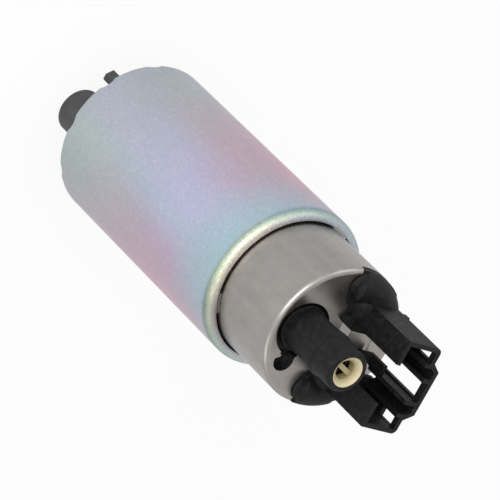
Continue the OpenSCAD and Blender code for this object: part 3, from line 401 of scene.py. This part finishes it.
# Springs, wound from bright spring steel wire. Each bears on a fixed end above the brush, valve
# or ball under it: name, joint, height of the fixed end, lift.
for name, joint, fixed_end, lift in (("brush_spring_1", "brush_1_lift", 0.08535, 0.003),
                                     ("brush_spring_2", "brush_2_lift", 0.08535, 0.003),
                                     ("check_valve_spring", "check_valve_lift", 0.0991, 0.0025),
                                     ("relief_spring", "relief_ball_lift", 0.08105, 0.0012)):
    dress(spring_steel, name)
    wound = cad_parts[name].data.copy()
    wound.materials.clear()
    wound.materials.append(spring_steel)
    spring = bpy.data.objects.new(name + "_wound", wound)
    bpy.context.collection.objects.link(spring)
    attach(spring, "housing")
    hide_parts(name)
    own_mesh(spring)


# Outlet can. A drawn cup of bright steel, left as it came from the press: fine rings from
# the draw run round it and soft streaks run up its wall. Its end face is painted darker, a
# painted shade.
end_face_from = (0.0846, 0.0852)
ring_shade = (0.28, 0.265, 0.25, 1)
stain_shade = (0.26, 0.25, 0.24, 1)
end_face_painted_shade = (0.22, 0.21, 0.20, 1)
steel, tree, shader, place = blank("drawn bright steel", metal=1.0)
streaks = noise(tree, place, size=0.0026, stretch=(1, 1, 9), detail=3)
rings = noise(tree, place, size=0.0009, stretch=(14, 14, 0.5), detail=3)
stain = noise(tree, place, size=0.004, stretch=(1, 1, 1.6), detail=6, rough=0.72)
tone = two_shades(tree, streaks, dark=(0.36, 0.343, 0.327), light=(0.41, 0.39, 0.372))
tone = blended(tree, ranged(tree, rings, low=0, high=0.2), tone, ring_shade)
tone = blended(tree, ranged(tree, stain, low=0, high=0.42, start=0.42, stop=0.72), tone,
               stain_shade)
height = height_on_part(tree, place)
# The end face is painted darker: painted shade.
tone = blended(tree, ranged(tree, height, 0, 0.4, *end_face_from), tone, end_face_painted_shade)
tree.links.new(tone, shader.inputs["Base Color"])
sheen = noise(tree, place, size=0.004, stretch=(1, 1, 6), detail=2)
tree.links.new(ranged(tree, sheen, low=0.26, high=0.34), shader.inputs["Roughness"])
waves = noise(tree, place, size=0.007, stretch=(1, 1, 6), detail=1)
wavy = raised(tree, shader, waves, depth=0.00003)
raised(tree, shader, rings, depth=0.000006, under=wavy)
dress(steel, "outlet_can")


# Studio. A pale sheet of paper lies just under the inlet end, with a white surround that metal
# mirrors, and three large soft lamps.
floor_height = -0.0091
floor_half = 1.5
floor_glow = 0.9
surround_on_part = 0.55
floor_mesh = bpy.data.meshes.new("floor")
sheet = bmesh.new()
bmesh.ops.create_grid(sheet, x_segments=8, y_segments=8, size=floor_half)
bmesh.ops.translate(sheet, verts=sheet.verts, vec=(0, 0, floor_height))
sheet.to_mesh(floor_mesh)
sheet.free()
floor = bpy.data.objects.new("floor", floor_mesh)
bpy.context.collection.objects.link(floor)
paper, tree, shader, place = blank("pale studio paper", metal=0.0)
shader.inputs["Roughness"].default_value = 0.9
tree.links.new(two_shades(tree, noise(tree, place, size=0.05),
                          dark=(0.90, 0.90, 0.90), light=(0.93, 0.93, 0.93)),
               shader.inputs["Base Color"])
glow = node(tree, "Emission", {"Color": (1, 1, 1, 1), "Strength": 1.0})
rays = node(tree, "LightPath").outputs
seen = reckoned(tree, "MULTIPLY", rays["Is Camera Ray"], floor_glow)
mixed = node(tree, "MixShader", {0: seen, 1: shader.outputs["BSDF"],
                                 2: glow.outputs["Emission"]})
tree.links.new(mixed.outputs["Shader"], tree.nodes["Material Output"].inputs["Surface"])
floor_mesh.materials.append(paper)

world = bpy.data.worlds.new("studio")
bpy.context.scene.world = world
world.use_nodes = True
tree = world.node_tree
rays = node(tree, "LightPath").outputs
seen = reckoned(tree, "MAXIMUM", rays["Is Camera Ray"], rays["Is Glossy Ray"])
seen = reckoned(tree, "MAXIMUM", seen, rays["Is Transmission Ray"])
strength = ranged(tree, seen, low=surround_on_part, high=1.0, start=0, stop=1)
tree.links.new(strength, tree.nodes["Background"].inputs["Strength"])
tree.nodes["Background"].inputs["Color"].default_value = (1, 1, 1, 1)


def lamp(name, spot, size, glow):
    """A square soft lamp that looks at the middle of the part."""
    middle = Vector((0, 0, 0.05))
    light = bpy.data.lights.new(name, "AREA")
    light.shape = "RECTANGLE"
    light.size = light.size_y = size
    light.energy = pi * glow * size * size
    made = bpy.data.objects.new(name, light)
    made.location = spot
    made.rotation_euler = (middle - Vector(spot)).to_track_quat("-Z", "Y").to_euler()
    bpy.context.collection.objects.link(made)


lamp("key lamp", spot=(-0.35, -0.75, 0.60), size=0.8, glow=2.8)
lamp("fill lamp", spot=(-0.80, 0.20, 0.60), size=0.6, glow=1.1)
lamp("low lamp", spot=(0.75, -0.50, 0.45), size=0.6, glow=0.9)

# The camera looks down on the outlet end. Its matrix holds its own three directions and, in
# the last column, its place in metres.
camera = bpy.data.cameras.new("camera")
camera.lens = 324
camera.sensor_width = 36
eye = bpy.data.objects.new("camera", camera)
eye.matrix_world = Matrix(((-0.4715, -0.8422, -0.2615, -0.2525),
                           (0.7237, -0.2001, -0.6605, -0.6357),
                           (0.5039, -0.5007, 0.7039, 0.7276),
                           (0, 0, 0, 1)))
bpy.context.collection.objects.link(eye)
bpy.context.scene.camera = eye
bpy.context.scene.view_settings.view_transform = "Standard"
